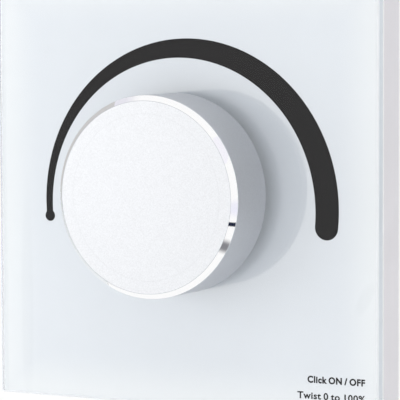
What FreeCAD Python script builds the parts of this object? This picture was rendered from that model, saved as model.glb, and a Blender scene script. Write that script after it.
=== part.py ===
import FreeCAD, Part
import math
import os
from types import SimpleNamespace

import Sketcher
from FreeCAD import Placement, Rotation, Vector

doc = FreeCAD.newDocument("rotary_dimmer")
sheet = doc.addObject("Spreadsheet::Sheet", "Sizes")

# Driving dimensions in millimetres. Levels count from the wall plane, outwards.
sizes = {
    # glass panel and what lies behind it
    "panel_size": 86.0,
    "panel_corner_radius": 0.5,
    "glass_thickness": 2.0,
    "glass_arris": 0.4,
    "glass_hole_diameter": 15.0,
    "enamel_thickness": 0.1,
    "enamel_border": 0.25,
    "tape_thickness": 0.3,
    "tape_band": 5.0,
    "tape_inset": 0.9,
    # printed crescent
    "dial_margin": 9.8,
    "dial_width": 3.3,
    "dial_outer_shift_x": 0.85,
    "dial_outer_shift_y": -2.65,
    "dial_inner_shift_x": -0.9,
    "dial_inner_shift_y": -3.2,
    "dial_end_level": -5.9,
    "dial_dot_radius": 1.15,
    "ink_overlap": 0.5,
    # front frame
    "frame_depth": 7.4,
    "frame_inset": 0.1,
    "frame_wall": 2.2,
    "frame_plate": 2.0,
    "frame_edge": 0.4,
    "frame_rib_thickness": 1.2,
    "frame_rib_height": 1.2,
    "frame_rib_spacing": 50.0,
    "snap_length": 8.0,
    "snap_reach": 0.8,
    "snap_height": 1.2,
    "snap_level": 2.6,
    "snap_spacing": 40.0,
    "pry_notch_width": 8.0,
    "pry_notch_height": 1.2,
    # mounting base
    "base_plate": 2.0,
    "base_clearance": 0.3,
    "base_rim_wall": 1.6,
    "base_rim_height": 4.8,
    "base_opening": 16.0,
    "snap_clearance": 0.3,
    "box_screw_spacing": 60.3,
    "box_slot_width": 4.4,
    "box_slot_length": 7.0,
    "spacer_width": 5.0,
    # rear housing
    "housing_width": 50.0,
    "housing_corner_cut": 10.0,
    "housing_depth": 24.0,
    "housing_wall": 1.8,
    "housing_edge": 0.8,
    "shelf_edge": 12.0,
    "shelf_depth": 14.0,
    "post_width": 6.0,
    "vent_width": 1.6,
    "vent_length": 14.0,
    "vent_pitch": 4.0,
    "vent_level": 6.0,
    # housing screws
    "screw_inset": 4.0,
    "screw_diameter": 2.5,
    "screw_head_diameter": 4.6,
    "screw_head_height": 1.8,
    "screw_grip": 6.0,
    "screw_clearance": 0.1,
    "pilot_depth": 7.0,
    # control board
    "board_level": 2.0,
    "board_thickness": 1.6,
    "board_clearance": 0.4,
    "solder_length": 1.0,
    "pin_clearance": 0.15,
    # encoder
    "bushing_diameter": 7.0,
    "bushing_length": 5.4,
    "bushing_flange": 1.2,
    "bracket_thickness": 0.4,
    "encoder_width": 11.6,
    "encoder_height": 12.0,
    "bracket_leg_width": 2.2,
    "rotor_chamber_depth": 3.0,
    "rotor_chamber_diameter": 10.0,
    "rotor_clearance": 0.3,
    "rotor_thickness": 2.2,
    "rotor_bore_diameter": 4.1,
    "rotor_notch_width": 0.7,
    "rotor_notch_depth": 0.5,
    "rotor_notch_count": 20,
    "detent_thickness": 0.2,
    "detent_width": 0.8,
    "detent_length": 4.0,
    "detent_inset": 0.6,
    "dome_chamber_depth": 2.2,
    "dome_diameter": 6.4,
    "dome_top_diameter": 3.4,
    "dome_height": 1.9,
    "dome_wall": 0.4,
    "dome_clearance": 0.1,
    "pin_width": 0.8,
    "pin_thickness": 0.3,
    "pin_spacing": 2.5,
    "pin_row": 5.2,
    "washer_diameter": 12.0,
    "washer_thickness": 0.5,
    "nut_width": 10.0,
    "nut_thickness": 2.0,
    "thread_clearance": 0.05,
    # shaft
    "shaft_diameter": 6.0,
    "shaft_top_level": 20.2,
    "shaft_flat": 1.5,
    "shaft_flat_length": 8.6,
    "shaft_clearance": 0.05,
    "drive_diameter": 4.0,
    "drive_shoulder_level": 5.4,
    "drive_flat": 3.0,
    # knob
    "knob_diameter": 39.8,
    "knob_height": 12.9,
    "knob_gap": 1.85,
    "knob_chamfer": 1.05,
    "knob_wall": 1.8,
    "knob_top": 2.25,
    "hub_diameter": 10.6,
    "hub_flange": 1.6,
    "hub_recess": 0.8,
    "hub_clearance": 0.1,
    "hub_rib_thickness": 1.2,
    "hub_rib_height": 5.0,
    "hub_rib_count": 6,
    "hub_rib_inset": 0.6,
    "clip_thickness": 0.35,
    "clip_width": 3.4,
    "clip_length": 6.5,
    "clip_clearance": 0.08,
    # wire terminal
    "terminal_pitch": 5.08,
    "terminal_count": 3,
    "terminal_depth": 9.0,
    "terminal_height": 10.0,
    "terminal_recess": 0.4,
    "terminal_clearance": 0.2,
    "entry_width": 3.6,
    "entry_height": 4.0,
    "entry_depth": 6.5,
    "entry_level": 4.4,
    "cage_wall": 0.5,
    "cage_length": 5.0,
    "cage_clearance": 0.08,
    "clamp_screw_diameter": 2.4,
    "clamp_screw_recess": 0.4,
    "clamp_slot_width": 0.6,
    "clamp_slot_depth": 0.8,
    # parts on the board, placed from the board's edge or its middle
    "film_length": 18.0,
    "film_width": 8.0,
    "film_height": 14.0,
    "film_inset": 7.6,
    "can_diameter": 10.0,
    "can_height": 14.0,
    "can_inset": 7.3,
    "can_offset": 4.0,
    "choke_width": 12.0,
    "choke_height": 13.0,
    "choke_winding": 10.4,
    "choke_flange": 1.8,
    "choke_inset": 7.8,
    "choke_offset": 2.0,
    "transistor_width": 10.0,
    "transistor_thickness": 4.4,
    "transistor_tab": 1.3,
    "transistor_body": 9.2,
    "transistor_height": 15.0,
    "transistor_inset": 7.3,
    "transistor_offset": -6.9,
    "chip_size": 7.0,
    "chip_thickness": 1.0,
    "chip_inset": 8.8,
}


class Size:
    """A length of the sheet, or a formula of such lengths, with its present value."""

    def __init__(self, text, value):
        self.text = text
        self.value = value

    def __add__(self, other):
        other = as_size(other)
        return Size(f"({self.text} + {other.text})", self.value + other.value)

    def __sub__(self, other):
        other = as_size(other)
        return Size(f"({self.text} - {other.text})", self.value - other.value)

    def __mul__(self, other):
        other = as_size(other)
        return Size(f"({self.text} * {other.text})", self.value * other.value)

    def __truediv__(self, other):
        other = as_size(other)
        return Size(f"({self.text} / {other.text})", self.value / other.value)

    def __neg__(self):
        return as_size(0) - self

    def root(self):
        return Size(f"sqrt({self.text})", math.sqrt(self.value))


def as_size(item):
    return item if isinstance(item, Size) else Size(repr(float(item)), float(item))


for row, (name, value) in enumerate(sizes.items(), start=1):
    sheet.set(f"A{row}", name)
    sheet.set(f"B{row}", str(value))
    sheet.setAlias(f"B{row}", name)
doc.recompute()

d = SimpleNamespace(**{name: Size(f"Sizes.{name}", value) for name, value in sizes.items()})

# Every piece is drawn with x to the right, y up and z out of the wall, then stood upright.
upright = Placement(Vector(0, 0, 0), Rotation(Vector(1, 0, 0), 90))
pieces = []


def bind(item, prop, length):
    item.setExpression(prop, as_size(length).text)


def new_body(label):
    body = doc.addObject("PartDesign::Body", label)
    body.Label = label
    body.Placement = upright
    pieces.append(body)
    return body


def origin_feature(body, role):
    return next(item for item in body.Origin.OriginFeatures if item.Role == role)


def new_sketch(body, name, level=0, role="XY_Plane", shift=0):
    sketch = body.newObject("Sketcher::SketchObject", name)
    sketch.AttachmentSupport = [(origin_feature(body, role), "")]
    sketch.MapMode = "FlatFace"
    bind(sketch, "AttachmentOffset.Base.x", shift)
    bind(sketch, "AttachmentOffset.Base.z", level)
    return sketch


def dimension(sketch, kind, length, *place):
    length = as_size(length)
    index = sketch.addConstraint(Sketcher.Constraint(kind, *place, length.value))
    name = f"{kind}{index}"
    sketch.renameConstraint(index, name)
    sketch.setExpression(f"Constraints.{name}", length.text)


def pin_point(sketch, geometry, point, x, y):
    dimension(sketch, "DistanceX", x, -1, 1, geometry, point)
    dimension(sketch, "DistanceY", y, -1, 1, geometry, point)


def polygon(sketch, corners):
    corners = [(as_size(x), as_size(y)) for x, y in corners]
    first = len(sketch.Geometry)
    count = len(corners)
    spots = [Vector(x.value, y.value, 0) for x, y in corners]
    for i in range(count):
        sketch.addGeometry(Part.LineSegment(spots[i], spots[(i + 1) % count]))
    for i in range(count):
        sketch.addConstraint(Sketcher.Constraint("Coincident", first + i, 2, first + (i + 1) % count, 1))
    for i, (x, y) in enumerate(corners):
        pin_point(sketch, first + i, 1, x, y)


def rectangle(sketch, width, height, x=0, y=0):
    left, right = as_size(x) - as_size(width) / 2, as_size(x) + as_size(width) / 2
    low, high = as_size(y) - as_size(height) / 2, as_size(y) + as_size(height) / 2
    polygon(sketch, [(left, low), (right, low), (right, high), (left, high)])


def cut_square(sketch, width, cut):
    half = width / 2
    flat = half - cut
    ring = [(half, -flat), (half, flat), (flat, half), (-flat, half)]
    polygon(sketch, ring + [(-x, -y) for x, y in ring])


def circle(sketch, diameter, x=0, y=0):
    x, y, radius = as_size(x), as_size(y), as_size(diameter) / 2
    index = sketch.addGeometry(Part.Circle(Vector(x.value, y.value, 0), Vector(0, 0, 1), radius.value))
    pin_point(sketch, index, 3, x, y)
    dimension(sketch, "Radius", radius, index)


def flatted_circle(sketch, diameter, flat, both=False):
    """A circle with a flat at that distance above its centre, or one on each side."""
    radius = diameter / 2
    chord = (radius * radius - flat * flat).root()
    low = -flat if both else flat
    ends = [(chord, flat), (-chord, flat), (-chord, low), (chord, low)]
    arcs = [(3, 0), (1, 2)] if both else [(1, 0)]
    lines = [(0, 1), (2, 3)] if both else [(0, 1)]
    free_direction = "DistanceX" if both else "DistanceY"
    spots = [Vector(x.value, y.value, 0) for x, y in ends]
    across = Part.Circle(Vector(0, 0, 0), Vector(0, 0, 1), radius.value)
    line_at = {}
    for start, end in lines:
        index = sketch.addGeometry(Part.LineSegment(spots[start], spots[end]))
        line_at[start] = (index, 1)
        line_at[end] = (index, 2)
        pin_point(sketch, index, 1, *ends[start])
        pin_point(sketch, index, 2, *ends[end])
    for start, end in arcs:
        arc = Part.ArcOfCircle(across, across.parameter(spots[start]), across.parameter(spots[end]))
        index = sketch.addGeometry(arc)
        sketch.addConstraint(Sketcher.Constraint("Coincident", index, 1, *line_at[start]))
        sketch.addConstraint(Sketcher.Constraint("Coincident", index, 2, *line_at[end]))
        dimension(sketch, free_direction, 0, -1, 1, index, 3)


def slot(sketch, length, width, x):
    """A slot with round ends, level with the origin and centred on x."""
    half = width / 2
    reach = length / 2 - half
    right, left = x + reach, x - reach
    low_line = len(sketch.Geometry)
    high_line = low_line + 1
    for line, y in ((low_line, -half), (high_line, half)):
        start = Vector(right.value, y.value, 0)
        end = Vector(left.value, y.value, 0)
        sketch.addGeometry(Part.LineSegment(start, end))
        pin_point(sketch, line, 1, right, y)
        pin_point(sketch, line, 2, left, y)
    ends = ((right, -math.pi / 2, 1, (low_line, high_line)), (left, math.pi / 2, 2, (high_line, low_line)))
    for centre, start_angle, point, (first_line, second_line) in ends:
        across = Part.Circle(Vector(centre.value, 0, 0), Vector(0, 0, 1), half.value)
        arc = sketch.addGeometry(Part.ArcOfCircle(across, start_angle, start_angle + math.pi))
        sketch.addConstraint(Sketcher.Constraint("Coincident", arc, 1, first_line, point))
        sketch.addConstraint(Sketcher.Constraint("Coincident", arc, 2, second_line, point))
        dimension(sketch, "DistanceX", centre, -1, 1, arc, 3)


def pad(body, name, sketch, length):
    feature = body.newObject("PartDesign::Pad", name)
    feature.Profile = sketch
    bind(feature, "Length", length)
    doc.recompute()
    return feature


def pocket(body, name, sketch, depth, outwards=False):
    """Cut from the sketch towards the wall, or away from it."""
    before = body.Shape.Volume
    feature = body.newObject("PartDesign::Pocket", name)
    feature.Profile = sketch
    feature.Reversed = outwards
    bind(feature, "Length", depth)
    doc.recompute()
    if not body.Shape.Volume < before:
        raise RuntimeError(f"{body.Label}: {name} cuts nothing")
    return feature


def revolve(body, name, sketch):
    feature = body.newObject("PartDesign::Revolution", name)
    feature.Profile = sketch
    feature.ReferenceAxis = (sketch, ["V_Axis"])
    feature.Angle = 360
    doc.recompute()
    return feature


def around(body, name, feature, count):
    pattern = body.newObject("PartDesign::PolarPattern", name)
    pattern.Originals = [feature]
    pattern.Axis = (origin_feature(body, "Z_Axis"), [""])
    pattern.Angle = 360
    bind(pattern, "Occurrences", count)
    body.Tip = pattern
    doc.recompute()


def along_terminals(body, name, *features):
    pattern = body.newObject("PartDesign::LinearPattern", name)
    pattern.Originals = list(features)
    pattern.Direction = (origin_feature(body, "X_Axis"), [""])
    bind(pattern, "Length", terminal_run)
    bind(pattern, "Occurrences", d.terminal_count)
    body.Tip = pattern
    doc.recompute()


def edges_where(body, test):
    """Names of the body's edges whose two ends and middle all pass the test, in drawing axes."""
    shape = body.Tip.Shape
    found = []
    for index, edge in enumerate(shape.Edges, start=1):
        middle = edge.valueAt((edge.FirstParameter + edge.LastParameter) / 2)
        points = [vertex.Point for vertex in edge.Vertexes] + [middle]
        if all(test(point) for point in points):
            found.append(f"Edge{index}")
    return found


def dress(body, kind, name, edges, prop, length):
    base = body.Tip
    feature = body.newObject(f"PartDesign::{kind}", name)
    feature.Base = (base, edges)
    bind(feature, prop, length)
    body.Tip = feature
    doc.recompute()
    return feature


def round_corners(body, radius, half):
    def at_corner(point):
        return abs(abs(point.x) - half.value) < near and abs(abs(point.y) - half.value) < near

    dress(body, "Fillet", "rounded_corners", edges_where(body, at_corner), "Radius", radius)


near = 1e-4

# Levels along the depth, from the wall plane outwards
frame_front = d.frame_depth
frame_plate_back = d.frame_depth - d.frame_plate
enamel_back = frame_front + d.tape_thickness
glass_back = enamel_back + d.enamel_thickness
glass_face = glass_back + d.glass_thickness
knob_foot = glass_face + d.knob_gap
knob_face = knob_foot + d.knob_height
knob_ceiling = knob_face - d.knob_top
hub_foot = knob_foot + d.hub_recess
board_front = -d.board_level
board_back = board_front - d.board_thickness
encoder_face = frame_plate_back
flange_front = encoder_face - d.bracket_thickness
flange_back = flange_front - d.bushing_flange
rotor_floor = flange_back - d.rotor_chamber_depth
dome_floor = rotor_floor - d.dome_chamber_depth
rotor_back = rotor_floor + d.rotor_clearance
bushing_bore = d.shaft_diameter + d.shaft_clearance * 2
thread_bore = d.bushing_diameter + d.thread_clearance * 2
cavity_size = d.panel_size - d.frame_inset * 2 - d.frame_wall * 2
base_size = cavity_size - d.base_clearance * 2
dial_outer_radius = d.panel_size / 2 - d.dial_margin
dial_inner_radius = dial_outer_radius - d.dial_width
housing_room = d.housing_width - d.housing_wall * 2
room_cut = d.housing_corner_cut - d.housing_wall * (2 - math.sqrt(2))
board_width = housing_room - d.board_clearance * 2
board_cut = room_cut - d.board_clearance * (2 - math.sqrt(2))
board_edge = board_width / 2
screw_place = (d.housing_width - d.housing_corner_cut) / 2 - d.screw_inset
screw_places = [(screw_place, screw_place), (-screw_place, -screw_place)]
terminal_front = board_back - d.terminal_height
terminal_width = d.terminal_pitch * d.terminal_count
terminal_low = -d.housing_width / 2 + d.terminal_recess
terminal_first = -d.terminal_pitch * (d.terminal_count - 1) / 2
terminal_run = d.terminal_pitch * (d.terminal_count - 1)
entry_middle = board_back - d.entry_level
cage_middle = terminal_low + d.entry_depth - d.cage_length / 2


def crescent(name, grow, level, height):
    """The printed crescent: an eccentric ring cut off below, with a round end and a dot."""
    outer = dial_outer_radius + grow
    inner = dial_inner_radius - grow
    drop_outer = d.dial_end_level - d.dial_outer_shift_y
    drop_inner = d.dial_end_level - d.dial_inner_shift_y
    reach_outer = (dial_outer_radius * dial_outer_radius - drop_outer * drop_outer).root()
    reach_inner = (dial_inner_radius * dial_inner_radius - drop_inner * drop_inner).root()
    right_outer = d.dial_outer_shift_x + reach_outer
    right_inner = d.dial_inner_shift_x + reach_inner
    left_outer = d.dial_outer_shift_x - reach_outer
    left_inner = d.dial_inner_shift_x - reach_inner

    def disc(part, radius, x, y):
        item = doc.addObject("Part::Cylinder", f"{name}_{part}")
        bind(item, "Radius", radius)
        bind(item, "Height", height)
        bind(item, "Placement.Base.x", x)
        bind(item, "Placement.Base.y", y)
        bind(item, "Placement.Base.z", level)
        return item

    ring = doc.addObject("Part::Cut", f"{name}_ring")
    ring.Base = disc("outer", outer, d.dial_outer_shift_x, d.dial_outer_shift_y)
    ring.Tool = disc("inner", inner, d.dial_inner_shift_x, d.dial_inner_shift_y)
    upper = doc.addObject("Part::Box", f"{name}_upper")
    bind(upper, "Length", d.panel_size)
    bind(upper, "Width", d.panel_size)
    bind(upper, "Height", height)
    bind(upper, "Placement.Base.x", -d.panel_size / 2)
    bind(upper, "Placement.Base.y", d.dial_end_level)
    bind(upper, "Placement.Base.z", level)
    arch = doc.addObject("Part::Common", f"{name}_arch")
    arch.Base = ring
    arch.Tool = upper
    round_radius = (right_outer - right_inner) / 2 + grow
    round_end = disc("round_end", round_radius, (right_outer + right_inner) / 2, d.dial_end_level)
    dot = disc("dot", d.dial_dot_radius + grow, (left_outer + left_inner) / 2, d.dial_end_level)
    whole = doc.addObject("Part::MultiFuse", name)
    whole.Shapes = [arch, round_end, dot]
    return whole


def plain_box(name, size_x, size_y, size_z, x, y, level):
    """A box centred on x and y that starts at a level."""
    item = doc.addObject("Part::Box", name)
    bind(item, "Length", size_x)
    bind(item, "Width", size_y)
    bind(item, "Height", size_z)
    bind(item, "Placement.Base.x", as_size(x) - size_x / 2)
    bind(item, "Placement.Base.y", as_size(y) - size_y / 2)
    bind(item, "Placement.Base.z", level)
    return item


def finish_solid(item, label):
    item.Label = label
    item.Placement = upright
    pieces.append(item)


# Glass panel: ground front arris, hole for the encoder's nut
def make_glass_front():
    body = new_body("glass_front")
    outline = new_sketch(body, "glass_outline", glass_back)
    rectangle(outline, d.panel_size, d.panel_size)
    pad(body, "glass_plate", outline, d.glass_thickness)
    round_corners(body, d.panel_corner_radius, d.panel_size / 2)

    def on_front_rim(point):
        return abs(point.z - glass_face.value) < near

    dress(body, "Chamfer", "ground_arris", edges_where(body, on_front_rim), "Size", d.glass_arris)
    hole = new_sketch(body, "hole_outline", glass_face)
    circle(hole, d.glass_hole_diameter)
    pocket(body, "nut_hole", hole, d.glass_thickness)


# White enamel on the back of the glass, open at the crescent
def make_white_backing():
    enamel_size = d.panel_size - d.enamel_border * 2
    sheet_box = plain_box("enamel_sheet", enamel_size, enamel_size, d.enamel_thickness, 0, 0, enamel_back)
    window = crescent("enamel_window", as_size(0), enamel_back, d.enamel_thickness)
    hole = doc.addObject("Part::Cylinder", "enamel_hole")
    bind(hole, "Radius", d.glass_hole_diameter / 2)
    bind(hole, "Height", d.enamel_thickness)
    bind(hole, "Placement.Base.z", enamel_back)
    openings = doc.addObject("Part::MultiFuse", "enamel_openings")
    openings.Shapes = [window, hole]
    enamel = doc.addObject("Part::Cut", "white_backing")
    enamel.Base = sheet_box
    enamel.Tool = openings
    finish_solid(enamel, "white_backing")


# Dark ink behind the open crescent, a little wider than it
def make_dial_print():
    ink = crescent("dial_print", d.ink_overlap, enamel_back - d.enamel_thickness, d.enamel_thickness)
    finish_solid(ink, "dial_print")


# Adhesive frame round the edge of the panel
def make_bond_tape():
    body = new_body("bond_tape")
    outer = d.panel_size - d.tape_inset * 2
    band = new_sketch(body, "tape_outline", frame_front)
    rectangle(band, outer, outer)
    rectangle(band, outer - d.tape_band * 2, outer - d.tape_band * 2)
    pad(body, "tape_band", band, d.tape_thickness)


# Front frame: shallow tray with a stepped edge, snap ridges, ribs and a pry notch
def make_front_frame():
    body = new_body("front_frame")
    outer = d.panel_size - d.frame_inset * 2
    outline = new_sketch(body, "frame_outline")
    rectangle(outline, outer, outer)
    pad(body, "frame_block", outline, d.frame_depth)
    round_corners(body, d.panel_corner_radius, outer / 2)

    def on_front_rim(point):
        return abs(point.z - frame_front.value) < near

    dress(body, "Chamfer", "frame_edge", edges_where(body, on_front_rim), "Size", d.frame_edge)
    cavity = new_sketch(body, "cavity_outline")
    rectangle(cavity, cavity_size, cavity_size)
    pocket(body, "cavity", cavity, frame_plate_back, outwards=True)
    hole = new_sketch(body, "bushing_hole_outline", frame_front)
    circle(hole, thread_bore)
    pocket(body, "bushing_hole", hole, d.frame_plate)
    rib_level = frame_plate_back - d.frame_rib_height
    rib = new_sketch(body, "rib_outline", rib_level)
    rectangle(rib, d.frame_rib_thickness, cavity_size - d.base_rim_wall * 4, d.frame_rib_spacing / 2, 0)
    around(body, "ribs", pad(body, "rib", rib, d.frame_rib_height), 4)
    ridge = new_sketch(body, "ridge_outline", d.snap_level)
    for side in (-1, 1):
        middle = d.snap_spacing / 2 * side
        rectangle(ridge, d.snap_length, d.snap_reach, middle, (cavity_size - d.snap_reach) / 2)
    around(body, "snap_ridges", pad(body, "ridge", ridge, d.snap_height), 4)
    notch = new_sketch(body, "notch_outline")
    rectangle(notch, d.pry_notch_width, d.frame_wall, 0, -(outer - d.frame_wall) / 2)
    pocket(body, "pry_notch", notch, d.pry_notch_height, outwards=True)


# Mounting base: plate with an upstanding rim, screw slots and two spacers for the board
def make_mounting_base():
    body = new_body("mounting_base")
    plate = new_sketch(body, "base_outline")
    rectangle(plate, base_size, base_size)
    pad(body, "base_plate", plate, d.base_plate)
    rim = new_sketch(body, "rim_outline", d.base_plate)
    rectangle(rim, base_size, base_size)
    rectangle(rim, base_size - d.base_rim_wall * 2, base_size - d.base_rim_wall * 2)
    pad(body, "rim", rim, d.base_rim_height - d.base_plate)
    spacers = new_sketch(body, "spacer_outlines", board_front)
    bores = new_sketch(body, "base_bore_outlines", board_front)
    for x, y in screw_places:
        rectangle(spacers, d.spacer_width, d.spacer_width, x, y)
        circle(bores, d.screw_diameter + d.screw_clearance * 2, x, y)
    pad(body, "spacers", spacers, d.board_level)
    pocket(body, "base_bores", bores, d.board_level + d.base_plate, outwards=True)
    opening = new_sketch(body, "opening_outline", d.base_plate)
    rectangle(opening, d.base_opening, d.base_opening)
    pocket(body, "encoder_opening", opening, d.base_plate)
    slots = new_sketch(body, "slot_outlines", d.base_plate)
    for side in (-1, 1):
        slot(slots, d.box_slot_length, d.box_slot_width, d.box_screw_spacing / 2 * side)
    pocket(body, "box_screw_slots", slots, d.base_plate)
    window_low = d.snap_level - d.snap_clearance
    window = new_sketch(body, "window_outline", window_low)
    for side in (-1, 1):
        middle = d.snap_spacing / 2 * side
        window_length = d.snap_length + d.snap_clearance * 2
        rectangle(window, window_length, d.base_rim_wall, middle, (base_size - d.base_rim_wall) / 2)
    window_height = d.snap_height + d.snap_clearance * 2
    around(body, "snap_windows", pocket(body, "window", window, window_height, outwards=True), 4)


# Rear housing: cup with cut corners, a lower shelf for the terminals, screw posts and vents
def make_rear_housing():
    body = new_body("rear_housing")
    back = -d.housing_depth
    shelf = -d.shelf_depth
    outline = new_sketch(body, "housing_outline", back)
    cut_square(outline, d.housing_width, d.housing_corner_cut)
    pad(body, "housing_block", outline, d.housing_depth)
    low = new_sketch(body, "shelf_outline", back)
    step_height = d.housing_width / 2 - d.shelf_edge
    rectangle(low, d.housing_width, step_height, 0, -(d.housing_width / 2 + d.shelf_edge) / 2)
    pocket(body, "shelf", low, d.housing_depth - d.shelf_depth, outwards=True)

    def on_back(point):
        return abs(point.z - back.value) < near

    dress(body, "Chamfer", "back_edge", edges_where(body, on_back), "Size", d.housing_edge)
    room = new_sketch(body, "room_outline")
    cut_square(room, housing_room, room_cut)
    pocket(body, "room", room, d.shelf_depth - d.housing_wall)
    deep = new_sketch(body, "deep_room_outline", shelf + d.housing_wall)
    half = housing_room / 2
    flat = half - room_cut
    step = -d.shelf_edge + d.housing_wall
    polygon(deep, [(half, step), (half, flat), (flat, half), (-flat, half), (-half, flat), (-half, step)])
    pocket(body, "deep_room", deep, d.housing_depth - d.shelf_depth)
    pilots = new_sketch(body, "pilot_outlines", board_back)
    for name, floor, (x, y) in zip(("upper", "lower"), (back, shelf), screw_places):
        post_foot = floor + d.housing_wall / 2
        post = new_sketch(body, f"{name}_post_outline", post_foot)
        rectangle(post, d.post_width, d.post_width, x, y)
        pad(body, f"{name}_post", post, board_back - post_foot)
        circle(pilots, d.screw_diameter + d.screw_clearance, x, y)
    pocket(body, "pilots", pilots, d.pilot_depth)
    window = new_sketch(body, "terminal_window_outline", shelf)
    gap = d.terminal_clearance
    window_high = terminal_low + d.terminal_depth + gap
    window_low = -d.housing_width / 2
    window_side = terminal_width / 2 + gap
    corners_of_window = [(-window_side, window_low), (window_side, window_low)]
    polygon(window, corners_of_window + [(window_side, window_high), (-window_side, window_high)])
    pocket(body, "terminal_window", window, d.shelf_depth + board_back + gap, outwards=True)
    vent = new_sketch(body, "vent_outline", back)
    vent_row = [-2, -1, 0, 1, 2]
    for place in vent_row:
        rectangle(vent, d.vent_width, d.vent_length, d.vent_pitch * place, d.vent_level)
    pocket(body, "vents", vent, d.housing_wall, outwards=True)


# Circuit board with holes for the screws, solder pins and bracket legs
def make_control_board():
    body = new_body("control_board")
    outline = new_sketch(body, "board_outline", board_back)
    cut_square(outline, board_width, board_cut)
    pad(body, "board", outline, d.board_thickness)
    holes = new_sketch(body, "board_holes", board_front)
    for x, y in screw_places:
        circle(holes, d.screw_diameter + d.screw_clearance * 4, x, y)
    gap = d.pin_clearance * 2
    for x, y in pin_places():
        rectangle(holes, d.pin_width + gap, d.pin_thickness + gap, x, y)
    for side in (-1, 1):
        leg = (d.encoder_width + d.bracket_thickness) / 2 * side
        rectangle(holes, d.bracket_thickness + gap, d.bracket_leg_width + gap, leg, 0)
    pocket(body, "holes", holes, d.board_thickness)


def pin_places():
    row = d.pin_row
    pitch = d.pin_spacing
    contacts = [(pitch * step, -row) for step in (-1, 0, 1)]
    return contacts + [(pitch * side, row) for side in (-1, 1)]


# Encoder: body with the rotor chamber over the dome chamber
def make_encoder_body():
    body = new_body("encoder_body")
    outline = new_sketch(body, "body_outline", board_front)
    rectangle(outline, d.encoder_width, d.encoder_height)
    pad(body, "body_block", outline, flange_back - board_front)
    chamber = new_sketch(body, "chamber_outline", flange_back)
    circle(chamber, d.rotor_chamber_diameter)
    pocket(body, "rotor_chamber", chamber, d.rotor_chamber_depth)
    dome_room = new_sketch(body, "dome_room_outline", rotor_floor)
    circle(dome_room, d.dome_diameter + d.dome_clearance * 2)
    pocket(body, "dome_chamber", dome_room, d.dome_chamber_depth)


# Die-cast plate and bushing, with a small lead-in at the top
def make_encoder_bushing():
    body = new_body("encoder_bushing")
    plate = new_sketch(body, "flange_outline", flange_back)
    rectangle(plate, d.encoder_width, d.encoder_height)
    pad(body, "flange", plate, d.bushing_flange)
    tube = new_sketch(body, "tube_outline", flange_front)
    circle(tube, d.bushing_diameter)
    pad(body, "tube", tube, d.bushing_length)
    bore = new_sketch(body, "bushing_bore_outline", flange_back)
    circle(bore, bushing_bore)
    pocket(body, "bushing_bore", bore, d.bushing_flange + d.bushing_length, outwards=True)


# Folded bracket: top plate and two legs that pass through the board
def make_encoder_bracket():
    body = new_body("encoder_bracket")
    plate = new_sketch(body, "bracket_outline", flange_front)
    rectangle(plate, d.encoder_width + d.bracket_thickness * 2, d.encoder_height)
    pad(body, "bracket_plate", plate, d.bracket_thickness)
    skirt = new_sketch(body, "skirt_outline", board_front)
    tabs = new_sketch(body, "tab_outline", board_back - d.solder_length)
    for side in (-1, 1):
        leg = (d.encoder_width + d.bracket_thickness) / 2 * side
        rectangle(skirt, d.bracket_thickness, d.encoder_height, leg, 0)
        rectangle(tabs, d.bracket_thickness, d.bracket_leg_width, leg, 0)
    pad(body, "skirts", skirt, flange_front - board_front)
    pad(body, "tabs", tabs, board_front - board_back + d.solder_length)
    hole = new_sketch(body, "bracket_hole_outline", encoder_face)
    circle(hole, thread_bore)
    pocket(body, "bracket_hole", hole, d.bracket_thickness)


# Flat solder pins of the encoder's contacts and of its switch
def make_encoder_pins():
    body = new_body("encoder_pins")
    outline = new_sketch(body, "pin_outlines", board_back - d.solder_length)
    for x, y in pin_places():
        rectangle(outline, d.pin_width, d.pin_thickness, x, y)
    pad(body, "pins", outline, d.board_thickness + d.solder_length)


# Rotor: disc with detent notches in its front face and a double-flat bore for the shaft
def make_encoder_rotor():
    body = new_body("encoder_rotor")
    disc_diameter = d.rotor_chamber_diameter - d.rotor_clearance * 2
    disc = new_sketch(body, "rotor_outline", rotor_back)
    circle(disc, disc_diameter)
    pad(body, "rotor_disc", disc, d.rotor_thickness)
    bore = new_sketch(body, "rotor_bore_outline", rotor_back)
    flatted_circle(bore, d.rotor_bore_diameter, d.drive_flat / 2 + d.shaft_clearance, both=True)
    pocket(body, "rotor_bore", bore, d.rotor_thickness, outwards=True)
    notch = new_sketch(body, "rotor_notch_outline", rotor_back + d.rotor_thickness)
    notch_start = d.shaft_diameter / 2
    notch_end = d.rotor_chamber_diameter / 2
    notch_middle = (notch_start + notch_end) / 2
    rectangle(notch, notch_end - notch_start, d.rotor_notch_width, notch_middle, 0)
    around(body, "notches", pocket(body, "notch", notch, d.rotor_notch_depth), d.rotor_notch_count)


# Two flat leaf springs held under the flange, over the rotor's notches
def make_detent_spring():
    body = new_body("detent_spring")
    leaves = new_sketch(body, "leaf_outlines", flange_back - d.detent_thickness)
    middle = (d.rotor_chamber_diameter - d.detent_width) / 2 - d.detent_inset
    for side in (-1, 1):
        rectangle(leaves, d.detent_width, d.detent_length, middle * side, 0)
    pad(body, "leaves", leaves, d.detent_thickness)


# Rubber dome: a hollow frustum
def make_switch_dome():
    body = new_body("switch_dome")
    profile = new_sketch(body, "dome_profile", 0, "XZ_Plane")
    foot = d.dome_diameter / 2
    crown = d.dome_top_diameter / 2
    top = dome_floor + d.dome_height
    inside = top - d.dome_wall
    hollow = [(0, inside), (crown - d.dome_wall, inside), (foot - d.dome_wall * 2, dome_floor)]
    polygon(profile, [(foot, dome_floor), (crown, top), (0, top)] + hollow)
    revolve(body, "dome", profile)


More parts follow.
